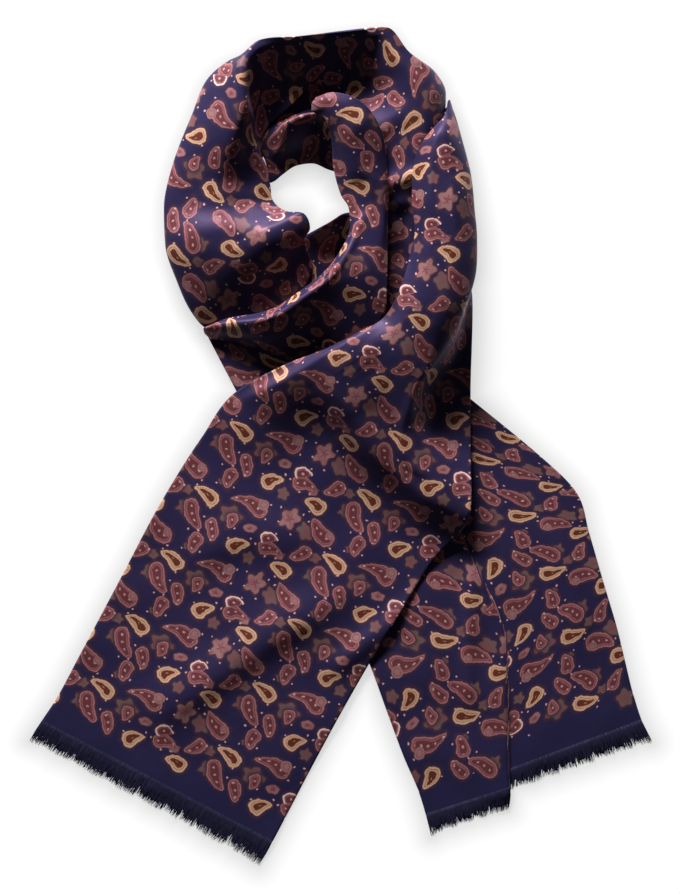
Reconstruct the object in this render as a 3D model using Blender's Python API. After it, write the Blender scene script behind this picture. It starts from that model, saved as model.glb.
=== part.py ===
"""A long silk scarf laid flat: wound twice into a loose ring, with its two fringed tails crossing below.

The cloth is one strip, cut 254 mm wide. Each stretch of it that shows is a thin wall, lofted through the
sections in the tables below. X runs to the right, Y runs up the ring, Z is up from the surface the scarf
lies on, and every size in the tables is in millimetres. The last entry of a point is its height.
"""

from collections import namedtuple

import bmesh
import bpy
import numpy as np
from mathutils import Vector
from mathutils.bvhtree import BVHTree

MM = 0.001
WALL = 1.2       # thickness of the cloth wall
SEAM = 0.35      # gap between stretches that continue one another
LAP = 1.8        # how far the front tail is lifted where it crosses the rear one
LAP_START = -58  # where that lift starts and ends, from the rear tail's left selvedge
LAP_END = -30
REAR_MARGIN = 24  # how far the hidden layers stay raised around the rear tail's end
ROUTE_POINTS = 40  # points along a fold's route
EDGE_HEIGHT = 0.5  # the upper face's height where the cloth turns under, at the least
TUCK_GAP = 2.5   # room between the two parts of the tucked tail
PADDING = 0.6    # room between the hidden layers and the cloth over them
CORE_EDGE = 1.6  # thickness of the hidden layers at their edges

Tail = namedtuple("Tail", "left right")
Tucked = namedtuple("Tucked", "left tuck right step height")
Front = namedtuple("Front", "edge rise crown ridge valley far")
Collar = namedtuple("Collar", "foot brow crest slope inner")
Swirl = namedtuple("Swirl", "inner ridge slope edge")
Back = namedtuple("Back", "under behind crest upper lower hem")
Pocket = namedtuple("Pocket", "rim upper lower hem")
Hidden = namedtuple("Hidden", "inner outer")
Fold = namedtuple("Fold", "height left right rise end route")

# The flat end of the front tail: fringe tips, hem, end of the print, then up the two selvedges.
FRONT_FLAT = (
    Tail((-310.7, -295.4, WALL), (-80.4, -418.6, WALL)),
    Tail((-298.2, -275.8, WALL), (-67.9, -396.3, WALL)),
    Tail((-285, -256, WALL), (-55.5, -373, WALL)),
    Tail((-259, -208, WALL), (-32, -328, WALL)),
    Tail((-217, -129, WALL), (11, -249, WALL)),
    Tail((-177, -54, WALL), (54, -176, WALL)),
    Tail((-138, 8, 1.8), (92, -115, 2.0)),
)

# The front tail where it climbs over the ring and becomes the right outer stretch.
FRONT_RISE = (
    Front((-103, 54, 8), (-55, 30, 11), (-10, 5, 10), (38, -20, 8), (88, -46, 10), (129, -66, 5)),
    Front((-54, 81, 21), (-12, 60, 22), (28, 32, 19), (64, 6, 19), (94, -8, 12), (130, -14, 6)),
    Front((-3, 101, 31), (22, 84, 35), (46, 62, 34), (69, 44, 31), (92, 40, 9), (130, 42, 4.5)),
    Front((45, 129, 38), (64, 120, 48), (83, 108, 47), (103, 98, 40), (115, 94, 15), (131, 96, 9)),
    Front((61, 160, 43), (80, 155, 52), (102, 148, 54), (124, 138, 42), (124, 132, 21), (132, 130, 11)),
    Front((70, 190, 39), (89, 189, 53), (110, 184, 55), (135, 176, 36), (132, 171, 13), (128, 166, 0.5)),
    Front((75, 214, 40), (94, 214, 54), (112, 212, 55), (136, 206, 36), (134, 204, 12), (116, 200, 0.5)),
    Front((72, 246, 40), (91, 247, 55), (110, 244, 55), (133, 238, 36), (132, 236, 12), (113, 232, 0.5)),
    Front((74, 281, 42), (93, 279, 55), (109, 275, 53), (128.5, 269, 34), (127, 267, 12), (109, 263, 0.5)),
    Front((84, 304, 45), (98, 306, 53), (109, 304, 50), (122, 300, 32), (121, 298, 12), (105, 293, 0.5)),
    Front((103, 326, 39), (107, 327, 38), (112, 326, 34), (116, 322, 27), (115, 320, 13), (107, 315, 3)),
    Front((107.5, 343, 24), (109, 344, 22), (109.5, 344, 19), (110, 342, 15), (109, 340, 10), (105, 336, 5)),
)

# The collar of cloth round the top of the ring, from the right valley over the back and down the left.
COLLAR = (
    Collar((95, 108, 5), (84, 109, 5.2), (66, 110, 5.5), (40, 110, 5.5), (16, 108, 5.5)),
    Collar((98, 138, 5), (88, 139, 5.2), (72, 140, 5.5), (52, 138, 5.5), (30, 134, 5.5)),
    Collar((98, 168, 6), (90, 169, 7), (74, 170, 8), (56, 171, 8), (34, 172, 8)),
    Collar((99, 200, 8), (91, 201, 13), (76, 202, 17), (55, 203, 13), (32, 203, 10)),
    Collar((99, 244, 10), (93, 246, 22), (76, 250, 30), (52, 252, 21), (26, 254, 13)),
    Collar((96, 282, 10), (93, 284, 28), (77, 286, 37.5), (50, 281, 26), (24, 272, 17)),
    Collar((96, 317, 8), (102, 318, 30), (84, 319, 43), (48, 304, 31), (18, 288, 20)),
    Collar((96, 349, 0.5), (105, 350, 24), (85, 342, 46), (44, 320, 35), (8, 302, 22)),
    Collar((88, 366, 0.5), (97, 368, 26), (78, 360, 47), (42, 335, 29), (7, 319, 20)),
    Collar((62, 388, 0.5), (69, 389, 45), (61, 383, 46), (31, 355, 22), (-8, 332, 17)),
    Collar((40, 404, 0.5), (45, 414, 48), (39, 408, 47), (10, 374, 23), (-14, 350, 18)),
    Collar((0, 401, 0.5), (2, 410, 50), (-1, 405, 48), (-11, 377, 26), (-24, 361, 19)),
    Collar((-42, 396, 0.5), (-42, 405, 50), (-43, 400, 47.5), (-47, 366, 25), (-50, 338, 17)),
    Collar((-74, 393, 0.5), (-79, 402, 46), (-77, 397, 46.5), (-71, 356, 19), (-69, 322, 10)),
    Collar((-90, 379, 0.5), (-99, 387, 32), (-95, 378, 47.5), (-79, 340, 17), (-76, 312, 9.5)),
    Collar((-104, 372, 0.5), (-113, 381, 24), (-98, 360, 48), (-84, 330, 17), (-80, 303, 9.5)),
    Collar((-119, 361, 0.5), (-130, 367, 22), (-97, 344, 47.5), (-86, 318, 19), (-80, 294, 9.5)),
    Collar((-137, 325, 0.5), (-148, 328, 21), (-106, 315, 44), (-89, 298, 22), (-74, 279, 10.5)),
    Collar((-155, 281, 0.5), (-165.5, 282, 20), (-120, 278, 33), (-89, 271, 19), (-70, 260, 11)),
    Collar((-164, 238, 0.5), (-175, 237, 20), (-132, 245, 27), (-92, 247, 17), (-67, 244, 12)),
    Collar((-163, 199, 0.5), (-173.5, 199, 20), (-126, 211, 39), (-86, 218, 35), (-53, 233, 22)),
    Collar((-152, 164, 0.5), (-162.5, 164, 16), (-120, 188, 37), (-78, 206, 39), (-37, 231, 29)),
    Collar((-140, 136, 0.5), (-149, 135, 12), (-109, 159, 27), (-66, 188, 30), (-30, 216, 25)),
    Collar((-132, 125, 3), (-137, 120, 9), (-100, 140, 16), (-62, 172, 18), (-36, 204, 16.5)),
    Collar((-123, 121, 5), (-119, 115, 7), (-80, 114, 8), (-46, 140, 9), (-26, 178, 9)),
)

# The stretch that swirls from the left, under the hole, up the right side to the back.
SWIRL = (
    Swirl((-132, 119, 12), (-136, 117, 12), (-135, 112, 8), (-130, 107, 3.4)),
    Swirl((-112, 127, 14), (-115, 121, 19), (-110, 112, 15), (-105, 103, 2.5)),
    Swirl((-86, 131, 17), (-86, 123, 27), (-80, 109, 22), (-74, 95, 2.4)),
    Swirl((-65, 137, 17), (-60, 130, 33), (-54, 115, 25), (-47, 89, 3)),
    Swirl((-41, 153, 18), (-36, 146, 37), (-28, 127, 28), (-12, 92, 10)),
    Swirl((-17, 172, 19), (-11, 165, 38), (2, 145, 30), (22, 105, 15)),
    Swirl((1, 195, 20), (7, 189, 36), (23, 167, 33), (46, 138, 21)),
    Swirl((10, 218, 22), (18, 212, 29.5), (34, 193, 29), (47, 172, 23)),
    Swirl((9, 236, 22.5), (33, 236, 28.5), (42, 221, 28), (47.5, 206, 23)),
    Swirl((1, 250, 20), (32, 260, 32.5), (43, 257, 31.5), (48, 250, 26)),
    Swirl((-4, 266, 20), (21, 276, 36), (37, 282, 36), (46, 285, 30)),
    Swirl((-7, 282, 22), (14, 296, 40.5), (30, 305, 42), (41, 312, 37)),
    Swirl((-8, 300, 28), (7, 313, 44), (20, 324, 47), (29, 333, 44)),
    Swirl((-11, 317, 35), (-1, 327, 44), (8, 337, 47), (13, 345, 46)),
    Swirl((-19, 328, 37), (-14, 335, 41), (-10, 343, 43), (-8, 350, 42)),
    Swirl((-24, 329, 36), (-28, 333, 38), (-28, 339, 38), (-23, 346, 37)),
)

# The inner wrap, seen down the back of the hole. Its crest rolls over and tucks in behind.
INNER_BACK = (
    Back((10, 328, 9), (8, 319, 12), (4, 308, 15), (3, 296, 11), (3, 284, 7.5), (1, 272, 6)),
    Back((0, 350, 8), (-6, 325, 11), (-8, 321, 27), (-8, 311, 15), (-10, 292, 7.5), (-12, 276, 5.5)),
    Back((-20, 366, 8), (-20, 335, 11), (-22, 330, 31), (-21, 320, 18), (-24, 299, 8.5), (-28, 282, 5.5)),
    Back((-36, 362, 8), (-36, 334, 11), (-37, 328, 33), (-37, 313, 24), (-40, 294, 8.5), (-44, 279.5, 5.5)),
    Back((-56, 350, 6), (-55, 326, 10), (-54, 320, 30), (-53, 306, 23), (-54, 287, 8.5), (-57, 271, 5.5)),
    Back((-80, 330, 3.5), (-74, 316, 5.5), (-68, 306, 15), (-64, 295, 15), (-64, 280, 8), (-66, 264, 4.5)),
    Back((-94, 306, 3.5), (-88, 302, 4), (-81, 294, 5), (-76, 287, 6), (-73, 276, 5), (-73, 262, 3.5)),
)

# The inner wrap, seen in the pocket under the front of the hole.
POCKET = (
    Pocket((-54, 200, 10), (-62, 186, 8), (-68, 170, 6.5), (-73, 154, 6)),
    Pocket((-44, 204, 12), (-51, 186, 9), (-58, 166, 6.5), (-62, 146, 6)),
    Pocket((-33, 210, 15.5), (-37, 190, 9), (-41, 168, 6), (-44, 144, 5.5)),
    Pocket((-12, 221, 23), (-16, 202, 11), (-20, 181, 6), (-24, 158, 5.5)),
    Pocket((5, 231, 20), (3, 211, 12), (1, 192, 6.5), (-1, 172, 6)),
    Pocket((16, 232, 15), (16, 214, 12), (16, 197, 8), (15, 180, 7)),
)

# The rear tail: fringe tips, hem, end of the print, then up to the ring. The tuck laps its left part over
# its right one, and steps the hem.
REAR = (
    Tucked((91, -390), (168, -364), (312, -296), 18, 3.4),
    Tucked((86, -369), (168, -343), (301.5, -275), 18, 3.4),
    Tucked((79, -346), (167, -319), (293, -249), 17, 3.3),
    Tucked((64, -311), (167, -280), (285, -217), 13, 3.0),
    Tucked((48, -268), (166, -240), (276, -180), 8, 2.2),
    Tucked((30, -219), (165, -196), (264, -140), 3, 1.0),
    Tucked((-4, -148), (138, -128), (249, -88), 0, 0.0),
    Tucked((-40, -74), (108, -62), (236, -47), 0, 0.0),
    Tucked((-72, -4), (80, 0), (198, -9), 0, 0.0),
    Tucked((-103, 54), (42, 56), (131, 46), 0, 0.0),
    Tucked((-132, 109), (4, 92), (92, 78), 0, 0.0),
)

# The outline of the layers hidden inside the ring, anticlockwise from the right.
HIDDEN = (
    Hidden((14, 238), (93, 215)),
    Hidden((9, 258), (91, 262)),
    Hidden((6, 284), (84, 312)),
    Hidden((-2, 304), (78, 358)),
    Hidden((-26, 302), (34, 393)),
    Hidden((-46, 300), (-38, 388)),
    Hidden((-66, 296), (-84, 366)),
    Hidden((-84, 278), (-127, 316)),
    Hidden((-84, 256), (-147, 262)),
    Hidden((-76, 234), (-151, 205)),
    Hidden((-62, 214), (-138, 160)),
    Hidden((-50, 196), (-112, 128)),
    Hidden((-38, 186), (-52, 104)),
    Hidden((-18, 194), (20, 30)),
    Hidden((0, 206), (78, 8)),
    Hidden((12, 220), (92, 110)),
)

# The large folds of the cloth: ridges along smooth routes on the surface's plan, that reach so far to the
# left and right of the route, and rise and end over these shares of it.
FRONT_FOLDS = (
    Fold(
        6.5, 26, 19, 0.25, 0.30,
        ((-212, -292), (-190, -277), (-134, -238), (-88, -205), (-10, -155), (40, -127)),
    ),
    Fold(4.0, 12, 12, 0.3, 0.3, ((-22, -240), (16, -205), (65, -167), (92, -140))),
    Fold(
        14.0, 42, 21, 0.28, 0.03,
        ((-22, 86), (-8, 72), (5, 50), (20, 25), (38, -5), (60, -24), (88, -46), (118, -63), (134, -70)),
    ),
    Fold(9.5, 8, 37, 0.3, 0.2, ((-112, 34), (-82, 51), (-50, 68), (-15, 88), (20, 106), (50, 122))),
    Fold(3.0, 24, 20, 0.3, 0.3, ((-170, -120), (-120, -100), (-60, -90), (0, -100))),
)
COLLAR_FOLDS = (
    Fold(3.0, 5, 7, 0.2, 0.4, ((-101, 388), (-97, 365), (-96, 340), (-90, 312))),
)


def slopes(knots, values):
    """Tangents that keep a curve through the values from overshooting them."""
    gaps = np.diff(knots)[:, None]
    steps = np.diff(values, axis=0) / gaps
    found = np.empty_like(values)
    found[0], found[-1] = steps[0], steps[-1]
    before, after = steps[:-1], steps[1:]
    mean = (gaps[1:] * before + gaps[:-1] * after) / (gaps[1:] + gaps[:-1])
    limit = 3 * np.minimum(abs(before), abs(after))
    found[1:-1] = np.where(before * after > 0, np.clip(mean, -limit, limit), 0)
    return found


def spline(knots, values, at):
    """Values read from the smooth curve through (knots, values)."""
    shape = values.shape[1:]
    values = values.reshape(len(values), -1)
    tangents = slopes(knots, values)
    i = np.clip(np.searchsorted(knots, at, side="right") - 1, 0, len(knots) - 2)
    gap = (knots[i + 1] - knots[i])[:, None]
    t = ((at - knots[i]) / (knots[i + 1] - knots[i]))[:, None]
    found = (
        (2 * t**3 - 3 * t**2 + 1) * values[i]
        + (t**3 - 2 * t**2 + t) * gap * tangents[i]
        + (3 * t**2 - 2 * t**3) * values[i + 1]
        + (t**3 - t**2) * gap * tangents[i + 1]
    )
    return found.reshape(len(at), *shape)


def stations(points, marks, counts):
    """Distances along a run of points, and where to cut it: counts steps between the section numbers."""
    run = np.concatenate([[0.0], np.cumsum(np.linalg.norm(np.diff(points, axis=0), axis=1))])
    ends = run[list(marks)]
    parts = [np.linspace(a, b, n + 1)[:-1] for a, b, n in zip(ends, ends[1:], counts)]
    return run, np.concatenate([*parts, ends[-1:]])


def loft(rows, marks, counts, across):
    """A grid of points on the smooth sheet through the rows, with counts steps between the marks."""
    rows = np.array(rows, float)
    knots, at = stations(rows.mean(axis=1), marks, counts)
    sections = spline(knots, rows, at)
    columns = np.linspace(0, 1, rows.shape[1])
    return spline(columns, sections.transpose(1, 0, 2), np.linspace(0, 1, across)).transpose(1, 0, 2)


def smoothstep(low, high, value):
    t = np.clip((value - low) / (high - low), 0, 1)
    return t * t * (3 - 2 * t)


def front_grid(marks, counts, across):
    """The front tail and the right outer stretch, lifted where they lie on the rear tail."""
    flat = [np.linspace(row.left, row.right, len(Front._fields)) for row in FRONT_FLAT]
    grid = loft(flat + [np.array(row) for row in FRONT_RISE], marks, counts, across)
    start, end = np.array(REAR[-2].left), np.array(REAR[0].left)
    way = (end - start) / np.linalg.norm(end - start)
    past = (grid[..., :2] - start) @ np.array([-way[1], way[0]])
    grid[..., 2] += LAP * smoothstep(LAP_START, LAP_END, past) * smoothstep(9, 3, grid[..., 2])
    return grid


def rear_grid(marks, counts, lapping, tucked):
    """The rear tail: flat, with a sharp tuck where its left part laps over its right one."""
    table = np.array([(*row.left, *row.tuck, *row.right, row.step, row.height) for row in REAR], float)
    knots, at = stations(table[:, 2:4], marks, counts)
    rows = []
    for lx, ly, tx, ty, rx, ry, step, height in spline(knots, table, at):
        out = np.array([rx - tx, ry - ty]) / np.hypot(rx - tx, ry - ty)
        foot = np.array([tx, ty + step]) + TUCK_GAP * out
        left = np.linspace((lx, ly, WALL), (tx, ty, WALL), lapping)
        left[:, 2] += height * smoothstep(0.5, 1.0, np.linspace(0, 1, lapping))
        right = np.linspace((*foot, WALL), (rx, ry, WALL), tucked)
        rows.append(np.concatenate([left, right]))
    return np.array(rows)


def normals(grid):
    """The grid's normals, on its upper side."""
    found = np.cross(np.gradient(grid, axis=0), np.gradient(grid, axis=1))
    found /= np.linalg.norm(found, axis=2, keepdims=True)
    return -found if found[..., 2].mean() < 0 else found


def fold_height(grid, fold):
    """How far a fold lifts each point of a grid: full along the middle of its route, nothing at its ends."""
    route = np.array(fold.route, float)
    run = np.concatenate([[0.0], np.cumsum(np.linalg.norm(np.diff(route, axis=0), axis=1))])
    route = spline(run, route, np.linspace(0, run[-1], ROUTE_POINTS))
    start, way = route[:-1], np.diff(route, axis=0)
    plan = grid[..., :2].reshape(-1, 1, 2)
    part = np.clip(((plan - start) * way).sum(axis=2) / (way**2).sum(axis=1), 0, 1)
    away = plan - (start + part[..., None] * way)
    distance = np.linalg.norm(away, axis=2)
    nearest = distance.argmin(axis=1)
    pick = np.arange(len(nearest))
    side = way[nearest, 0] * away[pick, nearest, 1] - way[nearest, 1] * away[pick, nearest, 0]
    width = np.where(side > 0, fold.left, fold.right)
    along = (nearest + part[pick, nearest]) / (ROUTE_POINTS - 1)
    fade = smoothstep(0, fold.rise, along) * smoothstep(1, 1 - fold.end, along)
    lift = fold.height * fade * np.exp(-((distance[pick, nearest] / width) ** 2))
    return lift.reshape(grid.shape[:2])


def folded(grid, folds):
    """The grid with its large folds raised along its normals. Nothing sinks into the ground."""
    lift = sum(fold_height(grid, fold) for fold in folds)
    made = grid + lift[..., None] * normals(grid)
    made[..., 2] = np.maximum(made[..., 2], EDGE_HEIGHT)
    return made


def underside(grid):
    """The lower face of a cloth wall, one wall's thickness below each point of its upper face."""
    lower = grid - WALL * normals(grid)
    lower[..., 2] = np.maximum(lower[..., 2], 0)
    return lower


def material(name, colour, roughness):
    made = bpy.data.materials.new(name)
    made.use_nodes = True
    shader = made.node_tree.nodes["Principled BSDF"]
    shader.inputs["Base Color"].default_value = (*colour, 1)
    shader.inputs["Roughness"].default_value = roughness
    shader.inputs["Metallic"].default_value = 0
    return made


def body(name, shape, finish, collection):
    """An object from a closed bmesh, with its faces turned out."""
    bmesh.ops.recalc_face_normals(shape, faces=shape.faces)
    mesh = bpy.data.meshes.new(name)
    shape.to_mesh(mesh)
    shape.free()
    mesh.materials.append(finish)
    mesh.shade_smooth()
    made = bpy.data.objects.new(name, mesh)
    collection.objects.link(made)
    return made


def wall(name, upper, lower, finish, collection):
    """A closed cloth wall between the grids of its two faces."""
    shape = bmesh.new()
    top, bottom = (
        [[shape.verts.new(Vector(point) * MM) for point in row] for row in face] for face in (upper, lower)
    )
    for grid in (top, bottom):
        for a, b in zip(grid, grid[1:]):
            for i in range(len(a) - 1):
                shape.faces.new((a[i], a[i + 1], b[i + 1], b[i]))
    rims = [
        (top[0], bottom[0]),
        (top[-1], bottom[-1]),
        ([row[0] for row in top], [row[0] for row in bottom]),
        ([row[-1] for row in top], [row[-1] for row in bottom]),
    ]
    for above, below in rims:
        for i in range(len(above) - 1):
            shape.faces.new((above[i], above[i + 1], below[i + 1], below[i]))
    return body(name, shape, finish, collection)


def stretches(grid, counts, names, finishes, collection):
    """Cuts a long sheet across into its named stretches, a seam's gap apart."""
    lower = underside(grid)
    made, start = [], 0
    for name, finish, count in zip(names, finishes, counts):
        pair = [face[start:start + count + 1].copy() for face in (grid, lower)]
        if start:
            for face in pair:
                way = face[1] - face[0]
                face[0] += way * (SEAM / np.linalg.norm(way, axis=1))[:, None]
        made.append(wall(name, *pair, finish, collection))
        start += count
    return made


def ring(values, count):
    """A closed smooth curve through the values, as count points."""
    values = np.array(values, float)
    looped = np.concatenate([values[-3:], values, values[:3]])
    numbers = np.arange(len(looped)) - 3.0
    return spline(numbers, looped, np.arange(count) * len(values) / count)


def lowest_cloth(cloth, x, y, reach):
    """The height of the lowest cloth over a point and its surroundings."""
    found = []
    for away in np.linspace(0, reach, 6):
        for turn in np.arange(24) * np.pi / 12:
            spot = Vector((x + away * np.cos(turn), y + away * np.sin(turn), 0))
            hit = cloth.ray_cast(spot * MM, Vector((0, 0, 1)))[0]
            found += [hit.z / MM] if hit else []
    return min(found, default=0.0)


def hidden_layers(over, finish, collection, around=64, deep=10):
    """The layers that don't show: one rounded solid, its top set below the cloth that covers it."""
    shape = bmesh.new()
    for made in over:
        shape.from_mesh(made.data)
    cloth = BVHTree.FromBMesh(shape)
    shape.free()
    outline = ring([(*row.inner, *row.outer) for row in HIDDEN], around)
    part = np.linspace(0, 1, deep)[:, None]
    plan = np.array([row[:2] + part * (row[2:] - row[:2]) for row in outline])
    along = np.linalg.norm(plan - np.roll(plan, 1, axis=0), axis=2)
    outward = np.linalg.norm(plan[:, 1:2] - plan[:, :1], axis=2)
    reach = np.hypot(np.maximum(along, np.roll(along, -1, axis=0)), outward)
    rear_end = REAR[-1]
    shape = bmesh.new()
    tops, bottoms = [], []
    for row, spans in zip(plan, reach):
        top, bottom = [], []
        for k, ((x, y), span) in enumerate(zip(row, spans)):
            end = np.interp(x, (rear_end.left[0], rear_end.right[0]), (rear_end.left[1], rear_end.right[1]))
            floor = WALL + 0.5 if y < end + REAR_MARGIN else 0.0
            rim = CORE_EDGE if k in (0, deep - 1) else np.inf
            height = min(floor + rim, lowest_cloth(cloth, x, y, span) - PADDING)
            top.append(shape.verts.new(Vector((x, y, max(height, floor + 1.0))) * MM))
            bottom.append(shape.verts.new(Vector((x, y, floor)) * MM))
        tops.append(top)
        bottoms.append(bottom)
    for i in range(around):
        j = (i + 1) % around
        for grid in (tops, bottoms):
            for k in range(deep - 1):
                shape.faces.new((grid[i][k], grid[i][k + 1], grid[j][k + 1], grid[j][k]))
        for k in (0, deep - 1):
            shape.faces.new((tops[i][k], tops[j][k], bottoms[j][k], bottoms[i][k]))
    return body("hidden_layers", shape, finish, collection)


def build():
    for obj in list(bpy.data.objects):
        bpy.data.objects.remove(obj)
    scarf = bpy.data.collections.new("silk_scarf")
    bpy.context.scene.collection.children.link(scarf)
    printed = material("printed_silk", (0.055, 0.035, 0.085), 0.42)
    navy = material("navy_silk", (0.012, 0.014, 0.05), 0.45)
    yarn = material("fringe_yarn", (0.01, 0.01, 0.03), 0.7)

    counts = (1, 1, 21, 26)
    grid = folded(front_grid((0, 1, 2, 8, 18), counts, 20), FRONT_FOLDS)
    names = ("front_fringe", "front_border", "front_tail", "right_outer")
    front = stretches(grid, counts, names, (yarn, navy, printed, printed), scarf)

    counts = (17, 13, 24)
    grid = folded(loft(COLLAR, (0, 8, 14, 24), counts, 10), COLLAR_FOLDS)
    collar = stretches(grid, counts, ("back_right", "back", "left_band"), [printed] * 3, scarf)

    counts = (18, 16)
    grid = loft(SWIRL, (0, 7, 15), counts, 8)
    swirl = stretches(grid, counts, ("swirl_front", "swirl_right"), [printed] * 2, scarf)

    inner = stretches(loft(INNER_BACK, (0, 6), (12,), 10), (12,), ("inner_back",), [printed], scarf)
    pocket = stretches(loft(POCKET, (0, 5), (9,), 6), (9,), ("inner_front",), [printed], scarf)

    counts = (1, 1, 12)
    grid = rear_grid((0, 1, 2, 10), counts, 6, 7)
    stretches(grid, counts, ("rear_fringe", "rear_border", "rear_tail"), (yarn, navy, printed), scarf)

    hidden_layers(front[-2:] + collar + swirl + inner + pocket, navy, scarf)


build()
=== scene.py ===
"""The looks of a long printed silk scarf, wound twice into a loose ring and laid flat.

Each stretch of cloth is a thin shell on the form of its solid, from the same sections, with its creases
laid over it. X runs to the right, Y up the ring and Z up from the surface that the scarf lies on. The
tables and the cloth are in millimetres.
"""

from collections import namedtuple
from functools import partialmethod

import bmesh
import bpy
import numpy as np
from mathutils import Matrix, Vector, noise
from mathutils.bvhtree import BVHTree


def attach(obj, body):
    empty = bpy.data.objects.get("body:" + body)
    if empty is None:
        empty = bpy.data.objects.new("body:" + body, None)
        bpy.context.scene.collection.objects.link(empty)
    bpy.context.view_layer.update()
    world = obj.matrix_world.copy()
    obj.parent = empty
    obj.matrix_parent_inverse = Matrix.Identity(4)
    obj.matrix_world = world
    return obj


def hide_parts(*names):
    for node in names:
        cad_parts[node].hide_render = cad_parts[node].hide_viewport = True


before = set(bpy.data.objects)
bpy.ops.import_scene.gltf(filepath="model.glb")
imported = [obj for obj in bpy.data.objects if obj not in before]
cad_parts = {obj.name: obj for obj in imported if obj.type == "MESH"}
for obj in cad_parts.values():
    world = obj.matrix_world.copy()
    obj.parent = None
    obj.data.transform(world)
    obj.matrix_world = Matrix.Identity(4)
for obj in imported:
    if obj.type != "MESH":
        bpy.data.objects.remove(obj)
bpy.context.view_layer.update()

MM = 0.001
WALL = 1.2  # thickness of the cloth's solid
CLOTH = 0.9  # thickness of the doubled silk
LOWEST = 0.05  # where the lowest cloth and yarn lie above the floor
LAP = 1.8  # how far the front tail is lifted where it crosses the rear one
LAP_START = -58  # where that lift starts and ends, from the rear tail's left selvedge
LAP_END = -30
TUCK_GAP = 2.5  # room between the two parts of the tucked tail
RIPPLE = 46  # length of the faint ripples in the cloth
ROUTE_POINTS = 40  # points along a fold's route
REAR_MARGIN = 24  # how far the hidden layers stay raised around the rear tail's end
EDGE_STEP = 6  # how far each hidden layer's edge stands back from the one below it
EDGE_RISE = 3.2  # and how much higher it lies
LAYER = 1.4  # thickness of the lowest hidden layer
THINNEST = 0.8  # and of all of them where the cloth presses them down
REPEAT = (144.5, 73.3)  # the print's repeat, across and along the cloth
REAR_SLIP = (-14.5, 22.8)  # how far the print slips where the rear tail is tucked
FAR_INSIDE = 500  # marks cloth with print all over
END_MARK = 100  # added to the depths inside the print, whose sign is the way the print faces
PRINT_END = -3.5  # how far past the joint with the border a motif's middle may lie

STRAND_PITCH = 0.24  # between the fringe's yarns
STRAND_SIDES = 4
STRAND_STEPS = 5
BAND_STEPS = 420  # points along the band of close yarns at the fringe's root
BAND_REACH = 0.72  # the band's share of the fringe
BAND_FORM = ((-0.05, 0.95), (0.0, 0.99), (0.35, 0.85), (1.0, 0.35))  # its height along its reach, as shares

# The studio, in metres and watts.
CAMERA_HEIGHT = 5.0
FRAME_WIDTH = 0.680  # what the picture's width covers on the floor
FRAME_MIDDLE = -0.0015  # the height on the floor that its middle shows
KEY_PLACE = (-0.80, 2.66, 1.09)
KEY_SIZE = (1.6, 0.42)
KEY_POWER = 315
FILL = 0.07  # the world's light
FLOOR_STEP = 0.005  # between the floor's points near the scarf
FLOOR_EDGES = ((-6, -2), (2, 6))  # and its points far from it
FLOOR_SHADE = (0.7, 0.7, 0.7)  # how much of the floor's own glow is left right beside the cloth, where its soft shadow is painted
FLOOR_GLOW = 0.93
SHADE_REACH = 0.034  # how far from the cloth the floor's painted soft shade fades

Tail = namedtuple("Tail", "left right")
Tucked = namedtuple("Tucked", "left tuck right step height")
Front = namedtuple("Front", "edge rise crown ridge valley far")
Collar = namedtuple("Collar", "foot brow crest slope inner")
Swirl = namedtuple("Swirl", "inner ridge slope edge")
Back = namedtuple("Back", "under behind crest upper lower hem")
Pocket = namedtuple("Pocket", "rim upper lower hem")
Hidden = namedtuple("Hidden", "inner outer")


def listed(kind, *rows):
    return [kind(*row) for row in rows]


# The flat end of the front tail: fringe tips, hem, end of the print, then up the two selvedges.
FRONT_FLAT = listed(
    Tail,
    ((-310.7, -295.4, WALL), (-80.4, -418.6, WALL)),
    ((-298.2, -275.8, WALL), (-67.9, -396.3, WALL)),
    ((-285, -256, WALL), (-55.5, -373, WALL)),
    ((-259, -208, WALL), (-32, -328, WALL)),
    ((-217, -129, WALL), (11, -249, WALL)),
    ((-177, -54, WALL), (54, -176, WALL)),
    ((-138, 8, 1.8), (92, -115, 2.0)),
)

# The front tail where it climbs over the ring and becomes the right outer stretch.
FRONT_RISE = listed(
    Front,
    ((-103, 54, 8), (-55, 30, 11), (-10, 5, 10), (38, -20, 8), (88, -46, 10), (129, -66, 5)),
    ((-54, 81, 21), (-12, 60, 22), (28, 32, 19), (64, 6, 19), (94, -8, 12), (130, -14, 6)),
    ((-3, 101, 31), (22, 84, 35), (46, 62, 34), (69, 44, 31), (92, 40, 9), (130, 42, 4.5)),
    ((45, 129, 38), (64, 120, 48), (83, 108, 47), (103, 98, 40), (115, 94, 15), (131, 96, 9)),
    ((61, 160, 43), (80, 155, 52), (102, 148, 54), (124, 138, 42), (124, 132, 21), (132, 130, 11)),
    ((70, 190, 39), (89, 189, 53), (110, 184, 55), (135, 176, 36), (132, 171, 13), (128, 166, 0.5)),
    ((75, 214, 40), (94, 214, 54), (112, 212, 55), (136, 206, 36), (134, 204, 12), (116, 200, 0.5)),
    ((72, 246, 40), (91, 247, 55), (110, 244, 55), (133, 238, 36), (132, 236, 12), (113, 232, 0.5)),
    ((74, 281, 42), (93, 279, 55), (109, 275, 53), (128.5, 269, 34), (127, 267, 12), (109, 263, 0.5)),
    ((84, 304, 45), (98, 306, 53), (109, 304, 50), (122, 300, 32), (121, 298, 12), (105, 293, 0.5)),
    ((103, 326, 39), (107, 327, 38), (112, 326, 34), (116, 322, 27), (115, 320, 13), (107, 315, 3)),
    ((107.5, 343, 24), (109, 344, 22), (109.5, 344, 19), (110, 342, 15), (109, 340, 10), (105, 336, 5)),
)

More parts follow.
